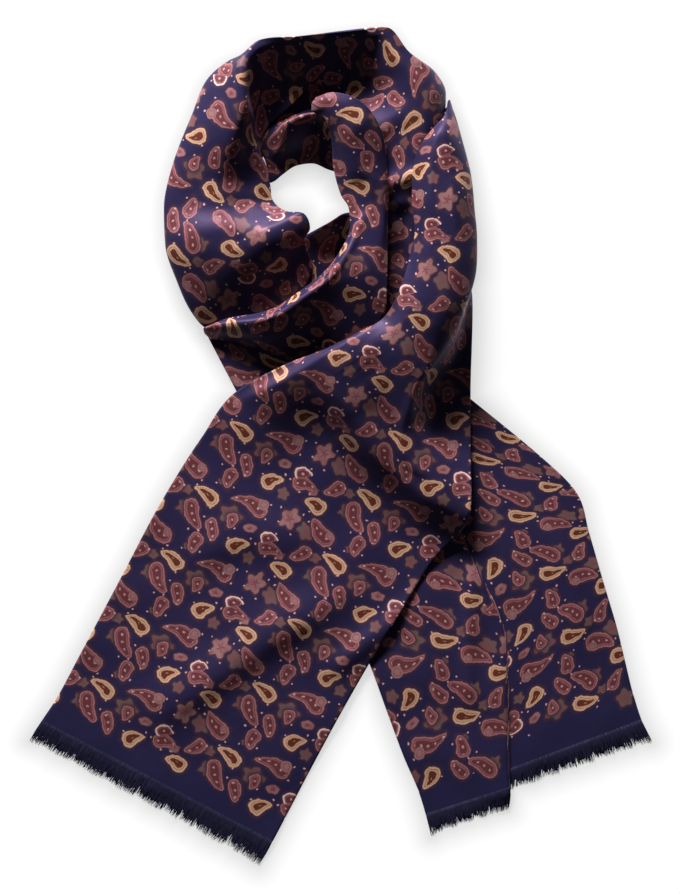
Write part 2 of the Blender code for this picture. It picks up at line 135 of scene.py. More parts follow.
# The collar of cloth round the top of the ring, from the right valley over the back and down the left.
COLLAR = listed(
    Collar,
    ((95, 108, 5), (84, 109, 5.2), (66, 110, 5.5), (40, 110, 5.5), (16, 108, 5.5)),
    ((98, 138, 5), (88, 139, 5.2), (72, 140, 5.5), (52, 138, 5.5), (30, 134, 5.5)),
    ((98, 168, 6), (90, 169, 7), (74, 170, 8), (56, 171, 8), (34, 172, 8)),
    ((99, 200, 8), (91, 201, 13), (76, 202, 17), (55, 203, 13), (32, 203, 10)),
    ((99, 244, 10), (93, 246, 22), (76, 250, 30), (52, 252, 21), (26, 254, 13)),
    ((96, 282, 10), (93, 284, 28), (77, 286, 37.5), (50, 281, 26), (24, 272, 17)),
    ((96, 317, 8), (102, 318, 30), (84, 319, 43), (48, 304, 31), (18, 288, 20)),
    ((96, 349, 0.5), (105, 350, 24), (85, 342, 46), (44, 320, 35), (8, 302, 22)),
    ((88, 366, 0.5), (97, 368, 26), (78, 360, 47), (42, 335, 29), (7, 319, 20)),
    ((62, 388, 0.5), (69, 389, 45), (61, 383, 46), (31, 355, 22), (-8, 332, 17)),
    ((40, 404, 0.5), (45, 414, 48), (39, 408, 47), (10, 374, 23), (-14, 350, 18)),
    ((0, 401, 0.5), (2, 410, 50), (-1, 405, 48), (-11, 377, 26), (-24, 361, 19)),
    ((-42, 396, 0.5), (-42, 405, 50), (-43, 400, 47.5), (-47, 366, 25), (-50, 338, 17)),
    ((-74, 393, 0.5), (-79, 402, 46), (-77, 397, 46.5), (-71, 356, 19), (-69, 322, 10)),
    ((-90, 379, 0.5), (-99, 387, 32), (-95, 378, 47.5), (-79, 340, 17), (-76, 312, 9.5)),
    ((-104, 372, 0.5), (-113, 381, 24), (-98, 360, 48), (-84, 330, 17), (-80, 303, 9.5)),
    ((-119, 361, 0.5), (-130, 367, 22), (-97, 344, 47.5), (-86, 318, 19), (-80, 294, 9.5)),
    ((-137, 325, 0.5), (-148, 328, 21), (-106, 315, 44), (-89, 298, 22), (-74, 279, 10.5)),
    ((-155, 281, 0.5), (-165.5, 282, 20), (-120, 278, 33), (-89, 271, 19), (-70, 260, 11)),
    ((-164, 238, 0.5), (-175, 237, 20), (-132, 245, 27), (-92, 247, 17), (-67, 244, 12)),
    ((-163, 199, 0.5), (-173.5, 199, 20), (-126, 211, 39), (-86, 218, 35), (-53, 233, 22)),
    ((-152, 164, 0.5), (-162.5, 164, 16), (-120, 188, 37), (-78, 206, 39), (-37, 231, 29)),
    ((-140, 136, 0.5), (-149, 135, 12), (-109, 159, 27), (-66, 188, 30), (-30, 216, 25)),
    ((-132, 125, 3), (-137, 120, 9), (-100, 140, 16), (-62, 172, 18), (-36, 204, 16.5)),
    ((-123, 121, 5), (-119, 115, 7), (-80, 114, 8), (-46, 140, 9), (-26, 178, 9)),
)

# The stretch that swirls from the left, under the hole, up the right side to the back.
SWIRL = listed(
    Swirl,
    ((-132, 119, 12), (-136, 117, 12), (-135, 112, 8), (-130, 107, 3.4)),
    ((-112, 127, 14), (-115, 121, 19), (-110, 112, 15), (-105, 103, 2.5)),
    ((-86, 131, 17), (-86, 123, 27), (-80, 109, 22), (-74, 95, 2.4)),
    ((-65, 137, 17), (-60, 130, 33), (-54, 115, 25), (-47, 89, 3)),
    ((-41, 153, 18), (-36, 146, 37), (-28, 127, 28), (-12, 92, 10)),
    ((-17, 172, 19), (-11, 165, 38), (2, 145, 30), (22, 105, 15)),
    ((1, 195, 20), (7, 189, 36), (23, 167, 33), (46, 138, 21)),
    ((10, 218, 22), (18, 212, 29.5), (34, 193, 29), (47, 172, 23)),
    ((9, 236, 22.5), (33, 236, 28.5), (42, 221, 28), (47.5, 206, 23)),
    ((1, 250, 20), (32, 260, 32.5), (43, 257, 31.5), (48, 250, 26)),
    ((-4, 266, 20), (21, 276, 36), (37, 282, 36), (46, 285, 30)),
    ((-7, 282, 22), (14, 296, 40.5), (30, 305, 42), (41, 312, 37)),
    ((-8, 300, 28), (7, 313, 44), (20, 324, 47), (29, 333, 44)),
    ((-11, 317, 35), (-1, 327, 44), (8, 337, 47), (13, 345, 46)),
    ((-19, 328, 37), (-14, 335, 41), (-10, 343, 43), (-8, 350, 42)),
    ((-24, 329, 36), (-28, 333, 38), (-28, 339, 38), (-23, 346, 37)),
)

# The inner wrap, seen down the back of the hole. Its crest rolls over and tucks in behind.
INNER_BACK = listed(
    Back,
    ((10, 328, 9), (8, 319, 12), (4, 308, 15), (3, 296, 11), (3, 284, 7.5), (1, 272, 6)),
    ((0, 350, 8), (-6, 325, 11), (-8, 321, 27), (-8, 311, 15), (-10, 292, 7.5), (-12, 276, 5.5)),
    ((-20, 366, 8), (-20, 335, 11), (-22, 330, 31), (-21, 320, 18), (-24, 299, 8.5), (-28, 282, 5.5)),
    ((-36, 362, 8), (-36, 334, 11), (-37, 328, 33), (-37, 313, 24), (-40, 294, 8.5), (-44, 279.5, 5.5)),
    ((-56, 350, 6), (-55, 326, 10), (-54, 320, 30), (-53, 306, 23), (-54, 287, 8.5), (-57, 271, 5.5)),
    ((-80, 330, 3.5), (-74, 316, 5.5), (-68, 306, 15), (-64, 295, 15), (-64, 280, 8), (-66, 264, 4.5)),
    ((-94, 306, 3.5), (-88, 302, 4), (-81, 294, 5), (-76, 287, 6), (-73, 276, 5), (-73, 262, 3.5)),
)

# The inner wrap, seen in the pocket under the front of the hole.
POCKET = listed(
    Pocket,
    ((-54, 200, 10), (-62, 186, 8), (-68, 170, 6.5), (-73, 154, 6)),
    ((-44, 204, 12), (-51, 186, 9), (-58, 166, 6.5), (-62, 146, 6)),
    ((-33, 210, 15.5), (-37, 190, 9), (-41, 168, 6), (-44, 144, 5.5)),
    ((-12, 221, 23), (-16, 202, 11), (-20, 181, 6), (-24, 158, 5.5)),
    ((5, 231, 20), (3, 211, 12), (1, 192, 6.5), (-1, 172, 6)),
    ((16, 232, 15), (16, 214, 12), (16, 197, 8), (15, 180, 7)),
)

# The rear tail: fringe tips, hem, end of the print, then up to the ring. The tuck laps its left part over
# its right one, and steps the hem.
REAR = listed(
    Tucked,
    ((91, -390), (168, -364), (312, -296), 18, 3.4),
    ((86, -369), (168, -343), (301.5, -275), 18, 3.4),
    ((79, -346), (167, -319), (293, -249), 17, 3.3),
    ((64, -311), (167, -280), (285, -217), 13, 3.0),
    ((48, -268), (166, -240), (276, -180), 8, 2.2),
    ((30, -219), (165, -196), (264, -140), 3, 1.0),
    ((-4, -148), (138, -128), (249, -88), 0, 0.0),
    ((-40, -74), (108, -62), (236, -47), 0, 0.0),
    ((-72, -4), (80, 0), (198, -9), 0, 0.0),
    ((-103, 54), (42, 56), (131, 46), 0, 0.0),
    ((-132, 109), (4, 92), (92, 78), 0, 0.0),
)

# The outline of the layers hidden inside the ring, anticlockwise from the right.
HIDDEN = listed(
    Hidden,
    ((14, 238), (93, 215)),
    ((9, 258), (91, 262)),
    ((6, 284), (84, 312)),
    ((-2, 304), (78, 358)),
    ((-26, 302), (34, 393)),
    ((-46, 300), (-38, 388)),
    ((-66, 296), (-84, 366)),
    ((-84, 278), (-127, 316)),
    ((-84, 256), (-147, 262)),
    ((-76, 234), (-151, 205)),
    ((-62, 214), (-138, 160)),
    ((-50, 196), (-112, 128)),
    ((-38, 186), (-52, 104)),
    ((-18, 194), (20, 30)),
    ((0, 206), (78, 8)),
    ((12, 220), (92, 110)),
)


# The creases: ridges (or troughs, with a height below zero) along smooth routes on the surface's plan,
# that reach so far to the left and right of the route, and rise and end over these shares of it.
Fold = namedtuple("Fold", "height left right rise end route")

FRONT_FOLDS = (
    Fold(
        6.5, 26, 19, 0.25, 0.30,
        ((-212, -292), (-190, -277), (-134, -238), (-88, -205), (-10, -155), (40, -127)),
    ),
    Fold(4.0, 12, 12, 0.3, 0.3, ((-22, -240), (16, -205), (65, -167), (92, -140))),
    Fold(
        14.0, 42, 21, 0.28, 0.03,
        ((-22, 86), (-8, 72), (5, 50), (20, 25), (38, -5), (60, -24), (88, -46), (118, -63), (134, -70)),
    ),
    Fold(1.8, 4, 5, 0.15, 0.2, ((96, 90), (75, 57), (66, 34), (63, 10), (67, -6), (78, -22), (98, -38))),
    Fold(9.5, 8, 37, 0.3, 0.2, ((-112, 34), (-82, 51), (-50, 68), (-15, 88), (20, 106), (50, 122))),
    Fold(3.0, 24, 20, 0.3, 0.3, ((-170, -120), (-120, -100), (-60, -90), (0, -100))),
)
REAR_FOLDS = (
    Fold(3.0, 10, 9, 0.2, 0.2, ((131, -110), (130, -160), (127, -215), (130, -275))),
    Fold(2.5, 12, 18, 0.3, 0.3, ((190, -60), (216, -100), (238, -160), (250, -215))),
)
COLLAR_FOLDS = (
    Fold(3.0, 5, 7, 0.2, 0.4, ((-101, 388), (-97, 365), (-96, 340), (-90, 312))),
    Fold(5.0, 9, 10, 0.2, 0.2, ((34, 256), (50, 262), (66, 266), (84, 270))),
    Fold(-5.0, 12, 13, 0.2, 0.3, ((60, 244), (62, 222), (60, 196), (56, 168))),
    Fold(4.0, 14, 12, 0.3, 0.3, ((-150, 240), (-125, 246), (-95, 249), (-62, 246))),
)
SWIRL_FOLDS = (
    Fold(
        1.6, 4, 3.5, 0.1, 0.1,
        ((-110, 122), (-86, 123), (-60, 131), (-36, 147), (-11, 166), (7, 190), (18, 213), (24, 240)),
    ),
)


# The tufts of the fringes: share of the width, lean of the tips (right above zero), length.
FRONT_TUFTS = (
    (0, -0.3, 1), (0.05, -0.8, 0.96), (0.055, 0.6, 0.88), (0.11, -0.4, 0.95), (0.17, -1, 0.92),
    (0.18, 0.9, 0.85), (0.25, 0.3, 0.97), (0.31, -0.8, 0.95), (0.315, 0.6, 0.9), (0.39, 0.3, 0.98),
    (0.45, -1.3, 0.94), (0.46, 0.8, 0.86), (0.52, -0.4, 0.97), (0.57, -0.9, 0.93), (0.58, 1.2, 0.87),
    (0.64, -1.2, 0.96), (0.648, 1, 0.88), (0.7, -0.8, 0.97), (0.708, 1.3, 0.9), (0.77, -0.3, 1),
    (0.846, -2.2, 0.98), (0.856, 2.4, 0.96), (0.9, 0.4, 1), (1, 0.6, 1.04),
)
REAR_TUFTS = (
    (0, 0.3, 1.02), (0.06, -0.6, 0.95), (0.065, 0.5, 0.9), (0.12, -0.9, 0.97), (0.127, 0.8, 0.88),
    (0.19, -0.5, 0.96), (0.195, 1, 0.9), (0.26, -1.2, 0.98), (0.268, 0.7, 0.92), (0.33, 0, 1),
    (0.39, -1, 0.95), (0.397, 0.9, 0.88), (0.45, -0.8, 0.98), (0.456, 1.1, 0.9), (0.52, -0.4, 1),
    (0.56, -1.2, 0.95), (0.567, 0.8, 0.89), (0.63, -0.9, 0.98), (0.637, 1, 0.88), (0.7, -0.5, 0.97),
    (0.705, 0.9, 0.92), (0.77, -1.1, 0.98), (0.778, 0.8, 0.89), (0.85, -0.4, 0.97), (0.857, 0.9, 0.92),
    (0.93, -0.8, 0.98), (0.935, 0.9, 0.93), (1, 1.5, 1.04),
)

# The print. Places are in millimetres across and up the cloth, from the middle of the first motif. `tail` is
# the way the tip points, in degrees anticlockwise from straight across; bend curls the tip, left below zero.
Paisley = namedtuple("Paisley", "gold across up length width tail bend taper")
Leaf = namedtuple("Leaf", "across up length width turn lobes colour")

PAISLEYS = listed(
    Paisley,
    (0, 1, -1.5, 31, 14.5, -60, -0.65, 0.2),
    (1, 6, 23.7, 26, 14, 155, -0.45, 0.38),
    (0, 26.8, -5.2, 22, 12, -50, 0.25, 0.2),
    (0, 40, 12.3, 14, 11, -60, 0.4, 0.2),
    (0, 50, 37.5, 34, 15, 158, -1.1, 0.4),
    (1, 55.3, -6.6, 21, 15, 62, 0.5, 0.36),
    (2, 80.6, 14.2, 17, 12.5, 40, 0.5, 0.1),
    (0, 86.6, 6.4, 25, 13.5, 30, 1, 0.42),
    (1, 106.4, -7.5, 21, 14.5, 158, -0.4, 0.28),
    (0, 124, 41.5, 30, 16, 170, 0.6, 0.26),
    (0, 117, 14, 21, 12.5, -112, 0.5, 0.3),
    (0, 16.8, -25, 20, 13.5, -100, -0.3, 0.24),
)

HALO = (0.034, 0.0145, 0.021)
OLIVE = (0.088, 0.055, 0.052)
DULL_PINK = (0.19, 0.085, 0.088)
ROSE = (0.19, 0.092, 0.092)

LEAVES = listed(
    Leaf,
    (-9, 2, 18, 13, 60, 0.16, OLIVE),
    (36.3, 16, 25, 20, 0, 0.15, OLIVE),
    (59.5, 13.7, 14, 9, 18, 0.04, DULL_PINK),
    (72, -13.7, 12.5, 13, 10, 0.14, OLIVE),
    (90, 41, 25, 20, 70, 0.18, ROSE),
    (109.5, 37, 20, 17, -40, 0.14, OLIVE),
    (97.5, 3, 12, 9, 28, 0.1, ROSE),
    (130, 18, 13, 10, 0, 0.12, OLIVE),
    (14, 42, 11, 8, 10, 0.08, OLIVE),
)
FLOWERS = (Leaf(60.5, 40.5, 11.5, 10.5, 30, 0.08, ROSE), Leaf(133, 44, 9, 8, 0, 0.08, DULL_PINK))

BEADS = (  # places like the motifs'
    (-8, 27.5), (14.5, 13), (13.6, 2.5), (30, -15.5), (5, -16), (14.5, -13), (45.5, 6), (45, -5.5),
    (33, 34), (68.7, 28.7), (67.5, 43.7), (81.2, 33), (97.5, 27), (100, 50.5), (85.3, 21.5), (71.7, 2.5),
    (85.7, -4.5), (125, 20.5), (103.7, -17), (96, -1.5), (65, 4.5), (26, -31), (8, -35.5), (108, 48),
    (77, 47), (139, 33),
)

GROUND = (0.0108, 0.0089, 0.0345)
MAROON = (0.125, 0.036, 0.040)
DEEP = (0.080, 0.021, 0.022)
PINK = (0.225, 0.092, 0.098)
BLUSH = (0.34, 0.19, 0.19)
CREAM = (0.50, 0.33, 0.32)
PEARL = (0.42, 0.23, 0.22)
GOLD = (0.40, 0.235, 0.155)
BROWN = (0.075, 0.017, 0.004)
NAVY = (0.0092, 0.0092, 0.036)
YARN = (0.0058, 0.0054, 0.0185)

SILK = {
    "Roughness": 0.5,
    "IOR": 1.38,
    "Specular IOR Level": 0.35,
    "Specular Tint": (0.9, 0.6, 1.0, 1.0),
    "Sheen Weight": 0.12,
    "Sheen Roughness": 0.4,
    "Sheen Tint": (0.8, 0.6, 1.0, 1.0),
}

# Each sheet of cloth: its slot, the nodes it stands for, how it is held and what it rests on.
SHEETS = {
    "front_cloth": ("printed_silk", "front_tail right_outer", "laid", "floor rear_cloth"),
    "front_hem": ("plain_border", "front_border", "laid", "floor"),
    "collar_cloth": ("printed_silk", "back_right back left_band", "folded", "floor hidden_layers"),
    "swirl_cloth": ("printed_silk", "swirl_front swirl_right", "folded", "hidden_layers"),
    "rim_cloth": ("printed_silk", "inner_back", "folded", "hidden_layers"),
    "pocket_cloth": ("printed_silk", "inner_front", "folded", "hidden_layers"),
    "rear_cloth": ("printed_silk", "rear_tail", "laid", "floor"),
    "rear_hem": ("plain_border", "rear_border", "laid", "floor"),
}


def slopes(knots, values):
    """The slopes of a curve through the values that doesn't overshoot them."""
    gaps = np.diff(knots)[:, None]
    steps = np.diff(values, axis=0) / gaps
    found = np.empty_like(values)
    found[0], found[-1] = steps[0], steps[-1]
    before, after = steps[:-1], steps[1:]
    mean = (gaps[1:] * before + gaps[:-1] * after) / (gaps[1:] + gaps[:-1])
    limit = 3 * np.minimum(abs(before), abs(after))
    found[1:-1] = np.where(before * after > 0, np.clip(mean, -limit, limit), 0)
    return found


def spline(knots, values, at):
    """Values read from the smooth curve through (knots, values)."""
    shape = values.shape[1:]
    values = values.reshape(len(values), -1)
    tangents = slopes(knots, values)
    i = np.clip(np.searchsorted(knots, at, side="right") - 1, 0, len(knots) - 2)
    gap = (knots[i + 1] - knots[i])[:, None]
    t = (at - knots[i])[:, None] / gap
    found = (
        (2 * t**3 - 3 * t**2 + 1) * values[i]
        + (t**3 - 2 * t**2 + t) * gap * tangents[i]
        + (3 * t**2 - 2 * t**3) * values[i + 1]
        + (t**3 - t**2) * gap * tangents[i + 1]
    )
    return found.reshape(len(at), *shape)


def spline_across(knots, rows, at):
    """Values read across each row of a grid, from the smooth curve through it."""
    return spline(knots, rows.transpose(1, 0, 2), at).transpose(1, 0, 2)


def run_of(points):
    """How far along a run of points each of them lies."""
    return np.concatenate([[0.0], np.cumsum(np.linalg.norm(np.diff(points, axis=0), axis=1))])


def unit(vectors):
    return vectors / np.maximum(np.linalg.norm(vectors, axis=-1, keepdims=True), 1e-9)


def smoothstep(low, high, value):
    t = np.clip((value - low) / (high - low), 0, 1)
    return t * t * (3 - 2 * t)


def evenly(start, end, spacing):
    """Numbers from start to end, about a spacing apart."""
    return np.linspace(start, end, max(2, int(round((end - start) / spacing))) + 1)


def crossed(p, q):
    """The areas between plane vectors p and q, above zero where q points to the left of p."""
    return p[..., 0] * q[..., 1] - p[..., 1] * q[..., 0]


def turned(angle):
    """The matrix that turns plane vectors to the left by an angle, or one for each of many angles."""
    return np.array([[np.cos(angle), -np.sin(angle)], [np.sin(angle), np.cos(angle)]])


def cells(number):
    """The four corners of each cell in a grid of point numbers."""
    corners = number[:-1, :-1], number[:-1, 1:], number[1:, 1:], number[1:, :-1]
    return np.stack(corners, axis=-1).reshape(-1, 4)


def fine_loft(rows, first, last, spacing, across):
    """A fine grid of points on the smooth sheet through the rows, from one row to another."""
    rows = np.array(rows, float)
    knots = run_of(rows.mean(axis=1))
    sections = spline(knots, rows, evenly(knots[first], knots[last], spacing))
    return spline_across(np.linspace(0, 1, rows.shape[1]), sections, np.linspace(0, 1, across))


def front_grid(first, last, spacing, across):
    """The front tail and the right outer stretch, lifted where they lie on the rear tail."""
    flat = [np.linspace(row.left, row.right, len(Front._fields)) for row in FRONT_FLAT]
    grid = fine_loft(flat + [np.array(row) for row in FRONT_RISE], first, last, spacing, across)
    start, end = np.array(REAR[-2].left), np.array(REAR[0].left)
    past = crossed(unit(end - start), grid[..., :2] - start)
    grid[..., 2] += LAP * smoothstep(LAP_START, LAP_END, past) * smoothstep(9, 3, grid[..., 2])
    return grid


def rear_grid(first, last, spacing, lapping, tucked):
    """The rear tail: flat, with a sharp tuck where its left part laps over its right one."""
    table = np.array([(*row.left, *row.tuck, *row.right, row.step, row.height) for row in REAR], float)
    knots = run_of(table[:, 2:4])
    at = evenly(knots[first], knots[last], spacing)
    rows = []
    for lx, ly, tx, ty, rx, ry, step, height in spline(knots, table, at):
        foot = np.array([tx, ty + step]) + TUCK_GAP * unit(np.array([rx - tx, ry - ty]))
        left = np.linspace((lx, ly, WALL), (tx, ty, WALL), lapping)
        left[:, 2] += height * smoothstep(0.5, 1.0, np.linspace(0, 1, lapping))
        right = np.linspace((*foot, WALL), (rx, ry, WALL), tucked)
        rows.append(np.concatenate([left, right]))
    return np.array(rows)


def normals(grid):
    """The grid's normals, on its upper side."""
    found = unit(np.cross(np.gradient(grid, axis=0), np.gradient(grid, axis=1)))
    return -found if found[..., 2].mean() < 0 else found


def fold_height(grid, fold):
    """How far a fold lifts each point of a grid: most along its route, nothing at its ends."""
    marks = np.array(fold.route, float)
    run = run_of(marks)
    route = spline(run, marks, np.linspace(0, run[-1], ROUTE_POINTS))
    plan = grid[..., :2].reshape(-1, 1, 2)
    start, way = route[:-1], np.diff(route, axis=0)
    part = np.clip(((plan - start) * way).sum(axis=2) / (way**2).sum(axis=1), 0, 1)
    away = plan - (start + part[..., None] * way)
    distance = np.linalg.norm(away, axis=2)
    nearest = distance.argmin(axis=1)
    pick = np.arange(len(nearest)), nearest
    width = np.where(crossed(way[nearest], away[pick]) > 0, fold.left, fold.right)
    along = (nearest + part[pick]) / len(way)
    fade = smoothstep(0, fold.rise, along) * smoothstep(1, 1 - fold.end, along)
    lift = fold.height * fade * np.exp(-((distance[pick] / width) ** 2))
    return lift.reshape(grid.shape[:2])


def creased(grid, folds, ripple, seed):
    """The grid with its folds and a faint ripple laid over it. Nothing sinks into the floor."""
    lift = sum(fold_height(grid, fold) for fold in folds)
    offset = Vector((seed * 17.3, seed * 5.1, seed * 9.7))
    for i, row in enumerate(grid):
        for j, point in enumerate(row):
            lift[i, j] += ripple * (0.5 + noise.noise(Vector(point) / RIPPLE + offset))
    made = grid + lift[..., None] * normals(grid)
    made[..., 2] = np.maximum(made[..., 2], np.minimum(grid[..., 2], WALL))
    return made


def strip_coordinates(grid, across_sign):
    """Distances across and along a grid, the first guess at its place on the flat cloth."""
    across = np.array([run_of(row) for row in grid])
    across -= across.mean(axis=1, keepdims=True)
    along = np.repeat(run_of(grid.mean(axis=1))[:, None], grid.shape[1], axis=1)
    return np.stack([across_sign * across, along], axis=2)


def flattened(grid, across_sign, rounds=60):
    """Where each point of a curved grid lies on the flat cloth, with as little stretch as possible.

    As-rigid-as-possible: every triangle is turned to fit its neighbours, then all of them are joined again.
    """
    rows, columns = grid.shape[:2]
    count = rows * columns
    corners = cells(np.arange(count).reshape(rows, columns))
    triangles = np.concatenate([corners[:, [0, 1, 2]], corners[:, [0, 2, 3]]])
    after, before = triangles[:, [1, 2, 0]], triangles[:, [2, 0, 1]]
    a, b, c = grid.reshape(-1, 3)[triangles].transpose(1, 0, 2)
    length = np.linalg.norm(b - a, axis=1)
    flat = strip_coordinates(grid, across_sign).reshape(-1, 2)
    fa, fb, fc = flat[triangles].transpose(1, 0, 2)
    local = np.zeros((len(triangles), 3, 2))
    local[:, 1, 0] = length
    local[:, 2, 0] = ((c - a) * (b - a)).sum(axis=1) / length
    local[:, 2, 1] = np.linalg.norm(np.cross(b - a, c - a), axis=1) / length
    local[..., 1] *= np.sign(np.median(crossed(fb - fa, fc - fa)))
    p, q = local[:, [1, 2, 0]] - local, local[:, [2, 0, 1]] - local
    weight = np.clip((p * q).sum(axis=2) / np.maximum(abs(crossed(p, q)), 1e-9), 0.05, 20)
    matrix = np.zeros((count, count))
    for s, t, sign in ((after, after, 1), (before, before, 1), (after, before, -1), (before, after, -1)):
        np.add.at(matrix, (s, t), sign * weight)
    matrix[0, 0] += 1
    inverse = np.linalg.inv(matrix)
    for _ in range(rounds):
        joined = np.einsum("nk,nka,nkb->nab", weight, flat[after] - flat[before], p - q)
        angle = np.arctan2(joined[:, 1, 0] - joined[:, 0, 1], joined[:, 0, 0] + joined[:, 1, 1])
        pull = weight[..., None] * np.einsum("abn,nkb->nka", turned(angle), p - q)
        right = np.zeros((count, 2))
        np.add.at(right, after, pull)
        np.add.at(right, before, -pull)
        right[0] += flat[0]
        flat = inverse @ right
    return flat.reshape(rows, columns, 2)


def cloth_coordinates(grid, across_sign, coarse=(64, 12)):
    """A fine grid's places on the flat cloth, worked out on a coarse one and read between its points."""
    rows, columns = (np.arange(n, dtype=float) for n in grid.shape[:2])
    pick = [np.unique(np.linspace(0, n[-1], m).round()) for n, m in zip((rows, columns), coarse)]
    flat = flattened(grid[np.ix_(*(p.astype(int) for p in pick))], across_sign)
    return spline_across(pick[1], spline(pick[0], flat, rows), columns)


def anchored(grid, flat, spot, way, there):
    """The flat coordinates turned and moved to put a place of the print at a spot of the plan.

    `way` is where the print's across axis points there, in degrees from X.
    """
    i, j = np.unravel_index(np.linalg.norm(grid[..., :2] - spot, axis=2).argmin(), grid.shape[:2])
    i, j = min(max(i, 1), grid.shape[0] - 2), min(max(j, 1), grid.shape[1] - 2)
    over, move = (
        np.stack([places[i + 1, j] - places[i - 1, j], places[i, j + 1] - places[i, j - 1]])
        for places in (grid[..., :2], flat)
    )
    seen = turned(np.radians(way))[:, 0] @ np.linalg.inv(over) @ move
    return (flat - flat[i, j]) @ turned(-np.arctan2(seen[1], seen[0])).T + np.array(there)


def solid(name, points, faces, finish):
    """A smooth-shaded object from points in millimetres and faces, turned to face out."""
    mesh = bpy.data.meshes.new(name)
    mesh.from_pydata((points * MM).tolist(), [], [list(map(int, face)) for face in faces])
    mesh.validate()
    mesh.materials.append(finish)
    made = bpy.data.objects.new(name, mesh)
    bpy.context.scene.collection.objects.link(made)
    shape = bmesh.new()
    shape.from_mesh(mesh)
    bmesh.ops.recalc_face_normals(shape, faces=shape.faces)
    shape.to_mesh(mesh)
    shape.free()
    mesh.shade_smooth()
    return made


def keep(made, name, values, kind="FLOAT", domain="POINT"):
    """Keeps a value on each of an object's points, or of its edges."""
    values = np.asarray(values, bool if kind == "BOOLEAN" else np.float32).ravel()
    attribute = made.data.attributes.new(name, kind, domain)
    attribute.data.foreach_set("vector" if kind == "FLOAT_VECTOR" else "value", values)


def keep_cloth(made, places, inside):
    """Keeps the points' places on the flat cloth, in metres, and how far inside the print's end they are."""
    keep(made, "cloth", np.pad(places, ((0, 0), (0, 1))) * MM, "FLOAT_VECTOR")
    keep(made, "inside", inside)


def shell(name, grid, coordinates, finish, inside=FAR_INSIDE, joints=()):
    """A closed thin shell under a grid, with rounded rims, that keeps its places on the flat cloth.

    `inside` tells how far each point is inside the print's end. `joints` are the end rows, 0 or -1, that
    meet the next stretch of the same cloth: they stay square, so no line shows.
    """
    lower = grid - CLOTH * normals(grid)
    lower[..., 2] = np.maximum(lower[..., 2], LOWEST)
    count = grid.shape[0] * grid.shape[1]
    number = np.arange(count).reshape(grid.shape[:2])
    rim = np.concatenate([number[0, :], number[1:, -1], number[-1, -2::-1], number[-2:0:-1, 0]])
    inward = np.concatenate([number[1, :], number[1:, -2], number[-2, -2::-1], number[-2:0:-1, 1]])
    top, bottom = grid.reshape(-1, 3), lower.reshape(-1, 3)
    bulge = np.where(np.isin(rim, number[list(joints)]), 0, 0.4 * CLOTH)
    middle = (top[rim] + bottom[rim]) / 2 + bulge[:, None] * unit(top[rim] - top[inward])
    upper = cells(number)
    sides = np.stack([rim, 2 * count + np.arange(len(rim)), count + rim])
    sides = cells(np.concatenate([sides, sides[:, :1]], axis=1))
    faces = np.concatenate([upper, upper[:, ::-1] + count, sides[:, ::-1]])
    made = solid(name, np.concatenate([top, bottom, middle]), faces, finish)
    flat = coordinates.reshape(-1, 2)
    depth = np.broadcast_to(inside, grid.shape[:2]).ravel()
    keep_cloth(made, np.concatenate([flat, flat, flat[rim]]), np.concatenate([depth, depth, depth[rim]]))
    ends = np.empty(2 * len(made.data.edges), np.int32)
    made.data.edges.foreach_get("vertices", ends)
    sharp = np.zeros(len(made.data.edges), bool)
    for row in joints:
        for side in (0, count):
            sharp |= np.isin(ends.reshape(-1, 2), number[row] + side).all(axis=1)
    keep(made, "sharp_edge", sharp, "BOOLEAN", "EDGE")
    return made


def surface(pieces, height=1):
    """The faces of some pieces as one tree, with every height multiplied."""
    shape = bmesh.new()
    for piece in pieces:
        shape.from_mesh(piece.data)
    bmesh.ops.scale(shape, vec=(1, 1, height), verts=shape.verts)
    tree = BVHTree.FromBMesh(shape)
    shape.free()
    return tree


def lowest_cloth(cloth, x, y, reach):
    """The height of the lowest cloth over a point and its surroundings."""
    found = []
    for away in np.linspace(0, reach, 3):
        for turn in np.arange(8) * np.pi / 4:
            spot = Vector((x + away * np.cos(turn), y + away * np.sin(turn), 0))
            hit = cloth.ray_cast(spot * MM, Vector((0, 0, 1)))[0]
            found += [hit.z / MM] if hit else []
    return min(found, default=0.0)


def hidden_layers(name, over, finish, around=180, deep=30):
    """The wraps under the cloth that shows: one closed form, its rims stepped like folded silk."""
    cloth = surface(over)
    rows = np.array([(*row.inner, *row.outer) for row in HIDDEN], float)
    looped = np.concatenate([rows[-3:], rows, rows[:3]])
    outline = spline(np.arange(len(looped)) - 3.0, looped, np.arange(around) * len(rows) / around)
    end = REAR[-1]
    points = []
    for i, row in enumerate(outline):
        width = np.linalg.norm(row[2:] - row[:2])
        waver = 0.35 * np.sin(i * 0.21) + 0.2 * np.sin(i * 0.067)
        for k, (x, y) in enumerate(np.linspace(row[:2], row[2:], deep)):
            limit = np.interp(x, (end.left[0], end.right[0]), (end.left[1], end.right[1])) + REAR_MARGIN
            floor = WALL + 0.5 if y < limit else 0.1
            depth = width * min(k, deep - 1 - k) / (deep - 1)
            height = floor + LAYER + EDGE_RISE * np.floor(depth / EDGE_STEP + waver).clip(0)
            top = min(height, lowest_cloth(cloth, x, y, 4) - CLOTH)
            points += [(x, y, max(top, floor + THINNEST)), (x, y, floor)]
    number = np.arange(around * deep * 2).reshape(around, deep, 2)
    looped = np.concatenate([number, number[:1]])
    faces = [cells(looped[..., side]) for side in (0, 1)] + [cells(looped[:, k]) for k in (0, -1)]
    points = np.array(points)
    made = solid(name, points, np.concatenate(faces), finish)
    keep_cloth(made, points[:, :2], np.full(len(points), FAR_INSIDE))
    return made


def feed(tree, value, socket):
    """Links a value into a socket, or sets the socket's own number or colour."""
    if isinstance(value, Value):
        tree.links.new(value.socket, socket)
    else:
        socket.default_value = (*value, 1.0) if socket.type == "RGBA" else value


